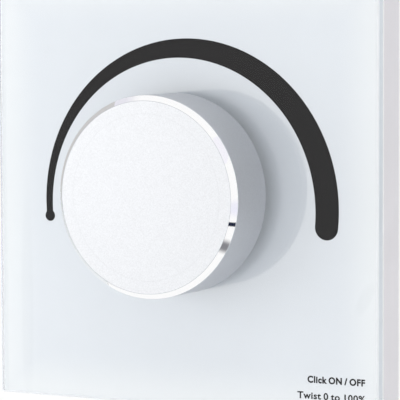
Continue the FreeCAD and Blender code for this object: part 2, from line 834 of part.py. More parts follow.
# Shaft: round with a flat for the knob, stepped down to the double-flat drive
def make_encoder_shaft():
    body = new_body("encoder_shaft")
    tip = dome_floor + d.dome_height + d.dome_clearance
    drive = new_sketch(body, "drive_outline", tip)
    flatted_circle(drive, d.drive_diameter, d.drive_flat / 2, both=True)
    pad(body, "drive", drive, d.drive_shoulder_level - tip)
    stem = new_sketch(body, "stem_outline", d.drive_shoulder_level)
    circle(stem, d.shaft_diameter)
    pad(body, "stem", stem, d.shaft_top_level - d.drive_shoulder_level)
    flat = new_sketch(body, "flat_outline", d.shaft_top_level)
    side = d.shaft_diameter / 2
    corners = [(-side, d.shaft_flat), (side, d.shaft_flat), (side, side), (-side, side)]
    polygon(flat, corners)
    pocket(body, "shaft_flat", flat, d.shaft_flat_length)


# Washer and hexagon nut on the bushing
def make_encoder_washer():
    body = new_body("encoder_washer")
    ring = new_sketch(body, "washer_outline", frame_front)
    circle(ring, d.washer_diameter)
    circle(ring, thread_bore)
    pad(body, "washer", ring, d.washer_thickness)


def make_encoder_nut():
    body = new_body("encoder_nut")
    outline = new_sketch(body, "nut_outline", frame_front + d.washer_thickness)
    half = d.nut_width / 2
    corner = d.nut_width / math.sqrt(3)
    side = [(half, -corner / 2), (half, corner / 2), (as_size(0), corner)]
    polygon(outline, side + [(-x, -y) for x, y in side])
    circle(outline, thread_bore)
    pad(body, "nut", outline, d.nut_thickness)


# Knob: turned cup with a polished chamfer round its face
def make_knob_cap():
    body = new_body("knob_cap")
    profile = new_sketch(body, "knob_profile", 0, "XZ_Plane")
    radius = d.knob_diameter / 2
    inside = radius - d.knob_wall
    side = [(inside, knob_foot), (radius, knob_foot), (radius, knob_face - d.knob_chamfer)]
    face = [(radius - d.knob_chamfer, knob_face), (0, knob_face)]
    polygon(profile, side + face + [(0, knob_ceiling), (inside, knob_ceiling)])
    revolve(body, "turned_cup", profile)


# Hub: flange glued under the knob's face, ribbed sleeve with the D-shaped bore
def make_knob_hub():
    body = new_body("knob_hub")
    flange_diameter = d.knob_diameter - d.knob_wall * 2 - d.hub_clearance * 2
    flange_level = knob_ceiling - d.hub_flange
    flange = new_sketch(body, "hub_flange_outline", flange_level)
    circle(flange, flange_diameter)
    pad(body, "hub_flange", flange, d.hub_flange)
    sleeve = new_sketch(body, "sleeve_outline", hub_foot)
    circle(sleeve, d.hub_diameter)
    pad(body, "sleeve", sleeve, flange_level - hub_foot)
    rib = new_sketch(body, "hub_rib_outline", flange_level - d.hub_rib_height)
    rib_start = (d.hub_diameter + d.shaft_diameter) / 4
    rib_end = flange_diameter / 2 - d.hub_rib_inset
    rectangle(rib, rib_end - rib_start, d.hub_rib_thickness, (rib_start + rib_end) / 2, 0)
    around(body, "hub_ribs", pad(body, "hub_rib", rib, d.hub_rib_height), d.hub_rib_count)
    bore = new_sketch(body, "hub_bore_outline", hub_foot)
    flatted_circle(bore, d.shaft_diameter + d.shaft_clearance * 2, clip_back())
    bore_depth = d.shaft_top_level + d.shaft_clearance - hub_foot
    pocket(body, "hub_bore", bore, bore_depth, outwards=True)


def clip_back():
    return d.shaft_flat + d.clip_thickness + d.clip_clearance * 2


# Leaf spring between the bore's flat and the shaft's flat
def make_hub_clip():
    body = new_body("hub_clip")
    outline = new_sketch(body, "clip_outline", d.shaft_top_level - d.clip_length)
    middle = d.shaft_flat + d.clip_clearance + d.clip_thickness / 2
    rectangle(outline, d.clip_width, d.clip_thickness, 0, middle)
    pad(body, "clip_leaf", outline, d.clip_length)


# Wire terminal: block with wire entries below and screw holes at its back
def make_terminal_block():
    body = new_body("terminal_block")
    outline = new_sketch(body, "block_outline", terminal_front)
    middle = terminal_low + d.terminal_depth / 2
    rectangle(outline, terminal_width, d.terminal_depth, 0, middle)
    pad(body, "block", outline, d.terminal_height)
    entry = new_sketch(body, "entry_outline", entry_middle - d.entry_height / 2)
    entry_place = terminal_low + d.entry_depth / 2
    rectangle(entry, d.entry_width, d.entry_depth, terminal_first, entry_place)
    along_terminals(body, "entries", pocket(body, "entry", entry, d.entry_height, outwards=True))
    hole = new_sketch(body, "screw_hole_outline", terminal_front)
    circle(hole, d.clamp_screw_diameter + d.screw_clearance * 2, terminal_first, cage_middle)
    hole_depth = entry_middle - terminal_front
    along_terminals(body, "screw_holes", pocket(body, "screw_hole", hole, hole_depth, outwards=True))


# Wire cages inside the entries, each with a hole for its screw
def make_terminal_clamps():
    body = new_body("terminal_clamps")
    width = d.entry_width - d.cage_clearance * 2
    height = d.entry_height - d.cage_clearance * 2
    cage = new_sketch(body, "cage_outline", -cage_middle - d.cage_length / 2, "XZ_Plane")
    rectangle(cage, width, height, terminal_first, entry_middle)
    wall = d.cage_wall * 2
    rectangle(cage, width - wall, height - wall, terminal_first, entry_middle)
    along_terminals(body, "cages", pad(body, "cage", cage, d.cage_length))
    hole = new_sketch(body, "cage_hole_outline", entry_middle - d.entry_height / 2)
    circle(hole, d.clamp_screw_diameter + d.screw_clearance, terminal_first, cage_middle)
    hole_depth = d.cage_wall + d.cage_clearance
    along_terminals(body, "cage_holes", pocket(body, "cage_hole", hole, hole_depth, outwards=True))


# Clamp screws: headless, slotted, sunk in the block, with their tips inside the cages
def make_terminal_screws():
    body = new_body("terminal_screws")
    head_level = terminal_front + d.clamp_screw_recess
    tip_level = entry_middle - d.cage_wall
    stem = new_sketch(body, "clamp_stem_outline", head_level)
    circle(stem, d.clamp_screw_diameter, terminal_first, cage_middle)
    first_stem = pad(body, "clamp_stem", stem, tip_level - head_level)
    groove = new_sketch(body, "clamp_slot_outline", head_level)
    rectangle(groove, d.clamp_slot_width, d.clamp_screw_diameter, terminal_first, cage_middle)
    first_groove = pocket(body, "clamp_slot", groove, d.clamp_slot_depth, outwards=True)
    along_terminals(body, "clamp_screws", first_stem, first_groove)


# Screws from the front of the base, through the board, into the housing's posts
def make_housing_screws():
    body = new_body("housing_screws")
    tip_level = board_back - d.screw_grip
    heads = new_sketch(body, "head_outlines", d.base_plate)
    stems = new_sketch(body, "stem_outlines", tip_level)
    for x, y in screw_places:
        circle(heads, d.screw_head_diameter, x, y)
        circle(stems, d.screw_diameter, x, y)
    pad(body, "heads", heads, d.screw_head_height)
    pad(body, "stems", stems, d.base_plate - tip_level)


# Parts soldered to the board
def make_film_capacitor():
    body = new_body("film_capacitor")
    outline = new_sketch(body, "film_outline", board_back - d.film_height)
    rectangle(outline, d.film_length, d.film_width, 0, board_edge - d.film_inset)
    pad(body, "film_box", outline, d.film_height)


def make_supply_capacitor():
    body = new_body("supply_capacitor")
    outline = new_sketch(body, "can_outline", board_back - d.can_height)
    circle(outline, d.can_diameter, board_edge - d.can_inset, d.can_offset)
    pad(body, "can", outline, d.can_height)


def make_filter_choke():
    body = new_body("filter_choke")
    x = d.choke_inset - board_edge
    outer_level = board_back - d.choke_height
    flange_levels = {"outer_flange": outer_level, "board_flange": board_back - d.choke_flange}
    for name, level in flange_levels.items():
        flange = new_sketch(body, f"{name}_outline", level)
        rectangle(flange, d.choke_width, d.choke_width, x, d.choke_offset)
        pad(body, name, flange, d.choke_flange)
    winding = new_sketch(body, "winding_outline", outer_level)
    circle(winding, d.choke_winding, x, d.choke_offset)
    pad(body, "winding", winding, d.choke_height)


def make_output_transistors():
    body = new_body("output_transistors")
    tall = new_sketch(body, "tab_outlines", board_back - d.transistor_height)
    thick = new_sketch(body, "package_outlines", board_back - d.transistor_body)
    tab_place = d.transistor_offset + (d.transistor_thickness - d.transistor_tab) / 2
    for side in (-1, 1):
        x = (board_edge - d.transistor_inset) * side
        rectangle(tall, d.transistor_width, d.transistor_tab, x, tab_place)
        rectangle(thick, d.transistor_width, d.transistor_thickness, x, d.transistor_offset)
    pad(body, "tabs", tall, d.transistor_height)
    pad(body, "packages", thick, d.transistor_body)


def make_controller_chip():
    body = new_body("controller_chip")
    outline = new_sketch(body, "chip_outline", board_front)
    rectangle(outline, d.chip_size, d.chip_size, 0, d.chip_inset - board_edge)
    pad(body, "chip", outline, d.chip_thickness)


make_glass_front()
make_white_backing()
make_dial_print()
make_bond_tape()
make_front_frame()
make_mounting_base()
make_rear_housing()
make_control_board()
make_encoder_body()
make_encoder_bushing()
make_encoder_bracket()
make_encoder_pins()
make_encoder_rotor()
make_detent_spring()
make_switch_dome()
make_encoder_shaft()
make_encoder_washer()
make_encoder_nut()
make_knob_cap()
make_knob_hub()
make_hub_clip()
make_terminal_block()
make_terminal_clamps()
make_terminal_screws()
make_housing_screws()
make_film_capacitor()
make_supply_capacitor()
make_filter_choke()
make_output_transistors()
make_controller_chip()
doc.recompute()

for item in doc.Objects:
    if "Invalid" in item.State or "Error" in item.State:
        raise RuntimeError(f"{item.Label} did not build: {item.State}")
for piece in pieces:
    if piece.Shape.isNull() or not piece.Shape.isValid():
        raise RuntimeError(f"{piece.Label} has no valid shape")

os.makedirs("parts", exist_ok=True)
for piece in pieces:
    piece.Shape.exportStep(f"parts/{piece.Label}.step")
    print(piece.Label, len(piece.Shape.Solids), "solids", round(piece.Shape.Volume, 1), "mm3")
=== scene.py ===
import math

import bmesh
import bpy
from mathutils import Matrix, Vector


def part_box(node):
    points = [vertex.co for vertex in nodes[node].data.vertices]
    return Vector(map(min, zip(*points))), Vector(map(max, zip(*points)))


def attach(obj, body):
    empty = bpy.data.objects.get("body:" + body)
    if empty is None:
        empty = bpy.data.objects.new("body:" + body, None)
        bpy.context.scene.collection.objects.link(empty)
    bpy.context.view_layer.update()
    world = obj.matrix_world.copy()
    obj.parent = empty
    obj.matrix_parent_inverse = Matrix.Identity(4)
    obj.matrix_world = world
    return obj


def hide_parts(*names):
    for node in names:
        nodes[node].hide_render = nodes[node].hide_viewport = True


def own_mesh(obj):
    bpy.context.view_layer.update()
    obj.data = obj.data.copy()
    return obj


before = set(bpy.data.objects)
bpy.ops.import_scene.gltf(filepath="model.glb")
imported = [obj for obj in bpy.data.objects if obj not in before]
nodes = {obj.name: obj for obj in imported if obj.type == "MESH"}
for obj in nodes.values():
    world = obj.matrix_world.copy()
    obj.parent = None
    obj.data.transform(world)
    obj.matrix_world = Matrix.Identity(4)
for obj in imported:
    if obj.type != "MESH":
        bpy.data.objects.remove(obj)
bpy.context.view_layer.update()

scene = bpy.context.scene
scene.view_settings.view_transform = "Standard"
mm = 0.001
print("frame loaded:", len(nodes), "nodes")

# shader helpers

noiseSpan = (0.3, 0.7)  # nearly all of the noise lies between these
moulded = {"cloudScale": 90.0, "darker": 0.975, "lighter": 1.02, "roughSwing": 0.06, "bump": 0.25}
plated = {"cloudScale": 400.0, "darker": 0.92, "lighter": 1.05, "roughSwing": 0.07, "bump": 0.15,
          "detail": 3.0, "depth": 0.008 * mm}


def newMaterial(name, color, rough, metal=0.0):
    mat = bpy.data.materials.new(name)
    mat.use_nodes = True
    bsdf = mat.node_tree.nodes["Principled BSDF"]
    bsdf.inputs["Base Color"].default_value = (*color, 1.0)
    bsdf.inputs["Roughness"].default_value = rough
    bsdf.inputs["Metallic"].default_value = metal
    return mat, bsdf


def addNode(owner, kind, **props):
    # the owner is a material or the world
    node = owner.node_tree.nodes.new(kind)
    for prop, value in props.items():
        setattr(node, prop, value)
    return node


def wire(owner, output, socket):
    owner.node_tree.links.new(output, socket)


def remap(owner, value, fromLow, fromHigh, toLow=0.0, toHigh=1.0, ease="LINEAR"):
    node = addNode(owner, "ShaderNodeMapRange", interpolation_type=ease)
    limits = {"From Min": fromLow, "From Max": fromHigh, "To Min": toLow, "To Max": toHigh}
    for label, limit in limits.items():
        node.inputs[label].default_value = limit
    wire(owner, value, node.inputs["Value"])
    return node.outputs["Result"]


def blendShaders(owner, share, first, second, output):
    blend = addNode(owner, "ShaderNodeMixShader")
    wire(owner, share, blend.inputs["Fac"])
    wire(owner, first, blend.inputs[1])
    wire(owner, second, blend.inputs[2])
    wire(owner, blend.outputs["Shader"], owner.node_tree.nodes[output].inputs["Surface"])


def objectNoise(mat, scale, detail=2.0, stretch=(1, 1, 1)):
    coord = addNode(mat, "ShaderNodeTexCoord")
    mapping = addNode(mat, "ShaderNodeMapping")
    mapping.inputs["Scale"].default_value = stretch
    wire(mat, coord.outputs["Object"], mapping.inputs["Vector"])
    noise = addNode(mat, "ShaderNodeTexNoise")
    noise.inputs["Scale"].default_value = scale
    noise.inputs["Detail"].default_value = detail
    wire(mat, mapping.outputs["Vector"], noise.inputs["Vector"])
    return noise


def varyRough(mat, bsdf, noise, rough, swing):
    varied = remap(mat, noise.outputs["Fac"], *noiseSpan, rough - swing, rough + swing)
    wire(mat, varied, bsdf.inputs["Roughness"])


def shaded(color, factor):
    return tuple(min(1.0, c * factor) for c in color)


def varyColor(mat, bsdf, noise, color, darker, lighter):
    ramp = addNode(mat, "ShaderNodeValToRGB")
    for stop, place, factor in zip(ramp.color_ramp.elements, noiseSpan, (darker, lighter)):
        stop.position = place
        stop.color = (*shaded(color, factor), 1.0)
    wire(mat, noise.outputs["Fac"], ramp.inputs["Fac"])
    wire(mat, ramp.outputs["Color"], bsdf.inputs["Base Color"])


def addBump(mat, bsdf, height, strength, distance):
    bump = addNode(mat, "ShaderNodeBump")
    bump.inputs["Strength"].default_value = strength
    bump.inputs["Distance"].default_value = distance
    wire(mat, height, bump.inputs["Height"])
    wire(mat, bump.outputs["Normal"], bsdf.inputs["Normal"])


def mouldedPlastic(name, color, rough, grain=6000.0, depth=0.012 * mm, gloss=0.4):
    mat, bsdf = newMaterial(name, color, rough)
    bsdf.inputs["Specular IOR Level"].default_value = gloss
    cloud = objectNoise(mat, moulded["cloudScale"])
    varyColor(mat, bsdf, cloud, color, moulded["darker"], moulded["lighter"])
    grains = objectNoise(mat, grain)
    varyRough(mat, bsdf, grains, rough, moulded["roughSwing"])
    addBump(mat, bsdf, grains.outputs["Fac"], moulded["bump"], depth)
    return mat


def platedMetal(name, color, rough, stretch=(1, 1, 1), grain=2500.0):
    mat, bsdf = newMaterial(name, color, rough, 1.0)
    cloud = objectNoise(mat, plated["cloudScale"])
    varyColor(mat, bsdf, cloud, color, plated["darker"], plated["lighter"])
    streaks = objectNoise(mat, grain, plated["detail"], stretch)
    varyRough(mat, bsdf, streaks, rough, plated["roughSwing"])
    addBump(mat, bsdf, streaks.outputs["Fac"], plated["bump"], plated["depth"])
    return mat


def mathOf(tree, operation, first, second=0.0):
    node = tree.nodes.new("ShaderNodeMath")
    node.operation = operation
    for socket, value in zip(node.inputs, (first, second)):
        if isinstance(value, bpy.types.NodeSocket):
            tree.links.new(value, socket)
        else:
            socket.default_value = value
    return node.outputs[0]


# mesh helpers

mergeReach = 0.0005 * mm
standing = Matrix.Rotation(math.radians(90), 4, "X")  # drawing plane to the upright panel


def finishPiece(name, mesh, body, replaced=()):
    piece = bpy.data.objects.new(name, mesh)
    scene.collection.objects.link(piece)
    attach(piece, body)
    if replaced:
        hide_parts(*replaced)
    return piece


def smoothBelow(mesh, degrees):
    mesh.polygons.foreach_set("use_smooth", [True] * len(mesh.polygons))
    mesh.set_sharp_from_angle(angle=math.radians(degrees))


def mergedCopy(node, name):
    mesh = nodes[node].data.copy()
    mesh.name = name
    work = bmesh.new()
    work.from_mesh(mesh)
    bmesh.ops.remove_doubles(work, verts=work.verts, dist=mergeReach)
    work.to_mesh(mesh)
    work.free()
    mesh.materials.clear()
    return mesh


def lathe(name, profile, turns, materials):
    # profile rows are radius, Y place and the material of the band that starts there
    work = bmesh.new()
    rings = []
    for radius, place, _ in profile:
        if radius == 0:
            rings.append([work.verts.new((0, place, 0))])
            continue
        ring = []
        for step in range(turns):
            angle = 2 * math.pi * step / turns
            ring.append(work.verts.new((radius * math.cos(angle), place, radius * math.sin(angle))))
        rings.append(ring)
    for index in range(len(profile) - 1):
        first, second = rings[index], rings[index + 1]
        for step in range(turns):
            after = (step + 1) % turns
            corners = [first[step % len(first)], first[after % len(first)]]
            corners += [second[after % len(second)], second[step % len(second)]]
            face = work.faces.new(list(dict.fromkeys(corners)))
            face.material_index = profile[index][2]
    bmesh.ops.recalc_face_normals(work, faces=work.faces)
    mesh = bpy.data.meshes.new(name)
    work.to_mesh(mesh)
    work.free()
    for mat in materials:
        mesh.materials.append(mat)
    return mesh


def curveMesh(name, outlines, front, back, mat):
    # outlines are drawn in X and Z, and stand between two places along Y
    curve = bpy.data.curves.new(name, "CURVE")
    curve.dimensions = "2D"
    curve.fill_mode = "BOTH"
    curve.extrude = (back - front) / 2
    for outline in outlines:
        spline = curve.splines.new("POLY")
        spline.points.add(len(outline) - 1)
        for point, (x, z) in zip(spline.points, outline):
            point.co = (x, z, 0, 1)
        spline.use_cyclic_u = True
    return plainMesh(name, curve, Matrix.Translation((0, (front + back) / 2, 0)) @ standing, mat)


def plainMesh(name, data, place, mat):
    carrier = bpy.data.objects.new(name, data)
    scene.collection.objects.link(carrier)
    graph = bpy.context.evaluated_depsgraph_get()
    mesh = bpy.data.meshes.new_from_object(carrier.evaluated_get(graph))
    bpy.data.objects.remove(carrier)
    mesh.transform(place)
    mesh.materials.clear()
    mesh.materials.append(mat)
    return mesh


# knob: bead-blasted aluminium with a mirror-cut chamfer

knob = {
    "turns": 256,
    "chamfer": 1.05 * mm,
    "edgeRound": 0.05 * mm,
    "footEdge": 0.25 * mm,
    "easeFlat": 0.6,  # shares of edgeRound that soften both rims of the chamfer
    "easeRise": 0.5,
    "wall": 1.8 * mm,
    "top": 2.25 * mm,
    "face": (0.897, 0.91, 0.936),
    "ring": 16.3 * mm,  # faint turned line on the face
    "ringWidth": 0.2 * mm,
    "ringTone": 0.965,
    # painted shade: the side has the face's blasted finish, in a darker colour that stands in for the shade
    # on it
    "side": (0.55, 0.572, 0.61),
    "rough": 0.55,
    "metal": 0.5,
    "polish": (0.97, 0.97, 0.975),
    "polishRough": 0.06,
    "polishSwing": 0.03,
    "lineScale": 500.0,
    "lineDetail": 3.0,
    "lineStretch": (0.4, 60.0, 0.4),
    "beadScale": 5200.0,
    "beadDetail": 1.0,
    "beadDark": 0.94,
    "beadLight": 1.05,
    "beadBump": 0.06,
    "beadDepth": 0.01 * mm,
    "roughScale": 2600.0,
    "roughSwing": 0.05,
    "smooth": 25,
}


def satinAluminium(name, color):
    mat, bsdf = newMaterial(name, color, knob["rough"], knob["metal"])
    beads = objectNoise(mat, knob["beadScale"], knob["beadDetail"])
    varyColor(mat, bsdf, beads, color, knob["beadDark"], knob["beadLight"])
    varyRough(mat, bsdf, objectNoise(mat, knob["roughScale"]), knob["rough"], knob["roughSwing"])
    addBump(mat, bsdf, beads.outputs["Fac"], knob["beadBump"], knob["beadDepth"])
    return mat, bsdf


def turnedRing(mat, bsdf):
    flat = addNode(mat, "ShaderNodeVectorMath", operation="MULTIPLY")
    flat.inputs[1].default_value = (1, 0, 1)
    wire(mat, addNode(mat, "ShaderNodeTexCoord").outputs["Object"], flat.inputs[0])
    reach = addNode(mat, "ShaderNodeVectorMath", operation="LENGTH")
    wire(mat, flat.outputs["Vector"], reach.inputs[0])
    away = mathOf(mat.node_tree, "SUBTRACT", reach.outputs["Value"], knob["ring"])
    away = mathOf(mat.node_tree, "ABSOLUTE", away)
    tone = remap(mat, away, 0.0, knob["ringWidth"], knob["ringTone"], 1.0, "SMOOTHSTEP")
    dim = addNode(mat, "ShaderNodeVectorMath", operation="SCALE")
    wire(mat, bsdf.inputs["Base Color"].links[0].from_socket, dim.inputs[0])
    wire(mat, tone, dim.inputs["Scale"])
    wire(mat, dim.outputs["Vector"], bsdf.inputs["Base Color"])


def blastedFace():
    mat, bsdf = satinAluminium("blastedFace", knob["face"])
    turnedRing(mat, bsdf)
    return mat


def cutAluminium():
    mat, bsdf = newMaterial("cutAluminium", knob["polish"], knob["polishRough"], 1.0)
    lines = objectNoise(mat, knob["lineScale"], knob["lineDetail"], knob["lineStretch"])
    varyRough(mat, bsdf, lines, knob["polishRough"], knob["polishSwing"])
    return mat


def makeKnob():
    low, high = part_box("knob_cap")
    radius = (high.x - low.x) / 2
    face, foot = low.y, high.y
    inside = radius - knob["wall"]
    ceiling = face + knob["top"]
    cut, soft, edge = knob["chamfer"], knob["edgeRound"], knob["footEdge"]
    easeFlat, easeRise = soft * knob["easeFlat"], soft * knob["easeRise"]
    satin, bright, front = 0, 1, 2
    profile = [
        (0, face, front),
        (radius - cut - soft, face, satin),
        (radius - cut + easeFlat, face + easeRise, bright),
        (radius - easeRise, face + cut - easeFlat, bright),
        (radius, face + cut + soft, satin),
        (radius, foot - edge, satin),
        (radius - edge, foot, satin),
        (inside, foot, satin),
        (inside, ceiling, satin),
        (0, ceiling, satin),
    ]
    # the side is a darker copy of the face's finish: painted shade
    blastedSidePaintedShade = satinAluminium("blastedSidePaintedShade", knob["side"])[0]
    mesh = lathe("knobTurned", profile, knob["turns"], [blastedSidePaintedShade, cutAluminium(), blastedFace()])
    smoothBelow(mesh, knob["smooth"])
    finishPiece("knobTurned", mesh, "knob", ["knob_cap"])


makeKnob()
print("knob turned")

# glass plate, enamel, crescent and legend

panel = {
    "bond": 0.05 * mm,  # the enamel reaches this far into the glass, so no air lies between them
    "inkStep": 0.02 * mm,
    "rimBand": 1.0 * mm,  # enamel points this near its rim are spread out to the glass edge
    "flatTilt": 0.99,  # how far a face looks forwards: polished above this
    "arrisTilt": 0.1,  # ground edge below this, and the arris lies between
    "smooth": 20,
    "waveScale": 25.0,
    "waveBump": 0.02,
    "waveDepth": 0.02 * mm,
    "tint": (0.975, 0.992, 1.0),
    "ior": 1.46,
    "edgeColor": (0.58, 0.62, 0.67),
    "edgeClear": 1.0,
    "arrisColor": (0.92, 0.94, 0.965),
    "arrisClear": 0.4,
    "edgeRough": 0.6,
    "edgeSwing": 0.08,
    "gritScale": 4000.0,
    "enamel": (0.797, 0.841, 0.896),
    "rim": (0.9, 0.934, 0.957),  # painted light: the enamel is lighter near the glass edges, for the light that comes in there
    "paintedLightReach": 10 * mm,
    "enamelGloss": 1.0,
    "enamelIor": 2.05,
    "enamelRough": 0.0,
    "cloudScale": 60.0,
    "cloudDark": 0.99,
    "cloudLight": 1.008,
    "ink": (0.0035, 0.0028, 0.0036),
    "inkRough": 0.7,
    "inkGrain": 3000.0,
    "inkDark": 0.8,
    "inkLight": 1.2,
}
dial = {
    "outerRadius": 33.2 * mm,
    "outerCentre": (0.85 * mm, -2.65 * mm),
    "innerRadius": 29.9 * mm,
    "innerCentre": (-0.9 * mm, -3.2 * mm),
    "endLevel": -5.9 * mm,
    "dotRadius": 1.15 * mm,
    "steps": 160,
    "endSteps": 24,
}
legend = {
    "lines": ("Click ON / OFF", "Twist 0 to 100%"),
    "widths": (12.4 * mm, 14.6 * mm),
    "levels": (-36.5 * mm, -39.7 * mm),
    "right": 39.65 * mm,
    "capHeight": 1.4 * mm,
    "thickness": 0.02 * mm,
    "weights": (0.04, 0.025),
    "spacing": 1.1,
    "wordSpacing": 0.7,
}


def clearGlass(name, rough):
    mat, bsdf = newMaterial(name, panel["tint"], rough)
    bsdf.inputs["IOR"].default_value = panel["ior"]
    bsdf.inputs["Transmission Weight"].default_value = 1.0
    # lamps reach the enamel through the glass
    path = addNode(mat, "ShaderNodeLightPath").outputs
    through = mathOf(mat.node_tree, "MAXIMUM", path["Is Shadow Ray"], path["Is Diffuse Ray"])
    clear = addNode(mat, "ShaderNodeBsdfTransparent")
    blendShaders(mat, through, bsdf.outputs["BSDF"], clear.outputs["BSDF"], "Material Output")
    return mat, bsdf


def polishedGlass():
    mat, bsdf = clearGlass("polishedGlass", 0.0)
    waves = objectNoise(mat, panel["waveScale"], 0.0)
    addBump(mat, bsdf, waves.outputs["Fac"], panel["waveBump"], panel["waveDepth"])
    return mat


def groundGlass(name, color, clear):
    mat, bsdf = clearGlass(name, panel["edgeRough"])
    bsdf.inputs["Base Color"].default_value = (*color, 1.0)
    bsdf.inputs["Transmission Weight"].default_value = clear
    grit = objectNoise(mat, panel["gritScale"])
    varyRough(mat, bsdf, grit, panel["edgeRough"], panel["edgeSwing"])
    return mat


def whiteEnamel():
    mat, bsdf = newMaterial("whiteEnamel", panel["enamel"], panel["enamelRough"])
    bsdf.inputs["IOR"].default_value = panel["enamelIor"]
    bsdf.inputs["Specular IOR Level"].default_value = panel["enamelGloss"]
    cloud = objectNoise(mat, panel["cloudScale"])
    varyColor(mat, bsdf, cloud, panel["enamel"], panel["cloudDark"], panel["cloudLight"])
    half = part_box("glass_front")[1].x
    place = addNode(mat, "ShaderNodeSeparateXYZ")
    wire(mat, addNode(mat, "ShaderNodeTexCoord").outputs["Object"], place.inputs["Vector"])
    across = mathOf(mat.node_tree, "ABSOLUTE", place.outputs["X"])
    upward = mathOf(mat.node_tree, "ABSOLUTE", place.outputs["Z"])
    outward = mathOf(mat.node_tree, "MAXIMUM", across, upward)
    # painted light: the enamel colour is blended towards the lighter rim tone near the glass edges
    near = remap(mat, outward, half - panel["paintedLightReach"], half, ease="SMOOTHSTEP")
    blend = addNode(mat, "ShaderNodeMix", data_type="RGBA")
    wire(mat, near, blend.inputs["Factor"])
    wire(mat, bsdf.inputs["Base Color"].links[0].from_socket, blend.inputs["A"])
    blend.inputs["B"].default_value = (*panel["rim"], 1.0)
    wire(mat, blend.outputs["Result"], bsdf.inputs["Base Color"])
    return mat


def darkInk():
    mat, bsdf = newMaterial("darkInk", panel["ink"], panel["inkRough"])
    bsdf.inputs["Specular IOR Level"].default_value = 0.0
    grain = objectNoise(mat, panel["inkGrain"])
    varyColor(mat, bsdf, grain, panel["ink"], panel["inkDark"], panel["inkLight"])
    return mat


inkMat = darkInk()


def makeGlass():
    mesh = mergedCopy("glass_front", "glassPlate")
    mesh.materials.append(polishedGlass())
    mesh.materials.append(groundGlass("groundEdge", panel["edgeColor"], panel["edgeClear"]))
    mesh.materials.append(groundGlass("groundArris", panel["arrisColor"], panel["arrisClear"]))
    polished, edge, arris = 0, 1, 2
    for face in mesh.polygons:
        tilt = abs(face.normal.y)
        if tilt > panel["flatTilt"]:
            face.material_index = polished
        else:
            face.material_index = arris if tilt > panel["arrisTilt"] else edge
    smoothBelow(mesh, panel["smooth"])
    finishPiece("glassPlate", mesh, "wall_unit", ["glass_front"])


def makeEnamel():
    mesh = mergedCopy("white_backing", "enamelSheet")
    mesh.transform(Matrix.Translation((0, -panel["bond"], 0)))
    half = max(v.co.x for v in mesh.vertices)
    spread = (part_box("glass_front")[1].x - panel["bond"]) / half  # out to the ground edge
    for v in mesh.vertices:
        if max(abs(v.co.x), abs(v.co.z)) > half - panel["rimBand"]:
            v.co.x, v.co.z = v.co.x * spread, v.co.z * spread
    mesh.materials.append(whiteEnamel())
    finishPiece("enamelSheet", mesh, "wall_unit", ["white_backing"])


def circleCrossings(centreA, radiusA, centreB, radiusB):
    a, b = Vector(centreA), Vector(centreB)
    apart = b - a
    along = (apart.length_squared + radiusA**2 - radiusB**2) / (2 * apart.length)
    aside = math.sqrt(radiusA**2 - along**2)
    way = apart.normalized()
    return [a + way * along + way.orthogonal() * side * aside for side in (-1, 1)]


def arcPoints(centre, radius, start, end, steps):
    points = []
    for step in range(steps + 1):
        angle = start + (end - start) * step / steps
        points.append((centre[0] + radius * math.cos(angle), centre[1] + radius * math.sin(angle)))
    return points


def angleFrom(centre, point):
    return math.atan2(point[1] - centre[1], point[0] - centre[0])


def crescentOutline():
    outer, inner, level = dial["outerCentre"], dial["innerCentre"], dial["endLevel"]
    reachOuter = math.sqrt(dial["outerRadius"] ** 2 - (level - outer[1]) ** 2)
    reachInner = math.sqrt(dial["innerRadius"] ** 2 - (level - inner[1]) ** 2)
    rightOuter, rightInner = outer[0] + reachOuter, inner[0] + reachInner
    roundCentre = ((rightOuter + rightInner) / 2, level)
    roundRadius = (rightOuter - rightInner) / 2
    dot = ((outer[0] - reachOuter + inner[0] - reachInner) / 2, level)
    # the dot meets each circle twice, and the upper crossing is kept
    crossOuter = circleCrossings(outer, dial["outerRadius"], dot, dial["dotRadius"])
    crossInner = circleCrossings(inner, dial["innerRadius"], dot, dial["dotRadius"])
    onOuter = max(crossOuter, key=lambda p: p.y)
    onInner = max(crossInner, key=lambda p: p.y)
    turn = 2 * math.pi
    startOuter = angleFrom(outer, (rightOuter, level))
    endOuter = angleFrom(outer, onOuter) % turn
    startDot = angleFrom(dot, onOuter) % turn
    endDot = angleFrom(dot, onInner) % turn + turn
    startInner = angleFrom(inner, onInner) % turn
    endInner = angleFrom(inner, (rightInner, level))
    outline = arcPoints(outer, dial["outerRadius"], startOuter, endOuter, dial["steps"])
    outline += arcPoints(dot, dial["dotRadius"], startDot, endDot, dial["endSteps"])
    outline += arcPoints(inner, dial["innerRadius"], startInner, endInner, dial["steps"])
    outline += arcPoints(roundCentre, roundRadius, -math.pi, 0, dial["endSteps"])
    return outline


def makeCrescent():
    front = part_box("glass_front")[1].y - panel["bond"] + panel["inkStep"]
    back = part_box("dial_print")[1].y
    mesh = curveMesh("crescentInk", [crescentOutline()], front, back, inkMat)
    finishPiece("crescentInk", mesh, "wall_unit", ["dial_print"])


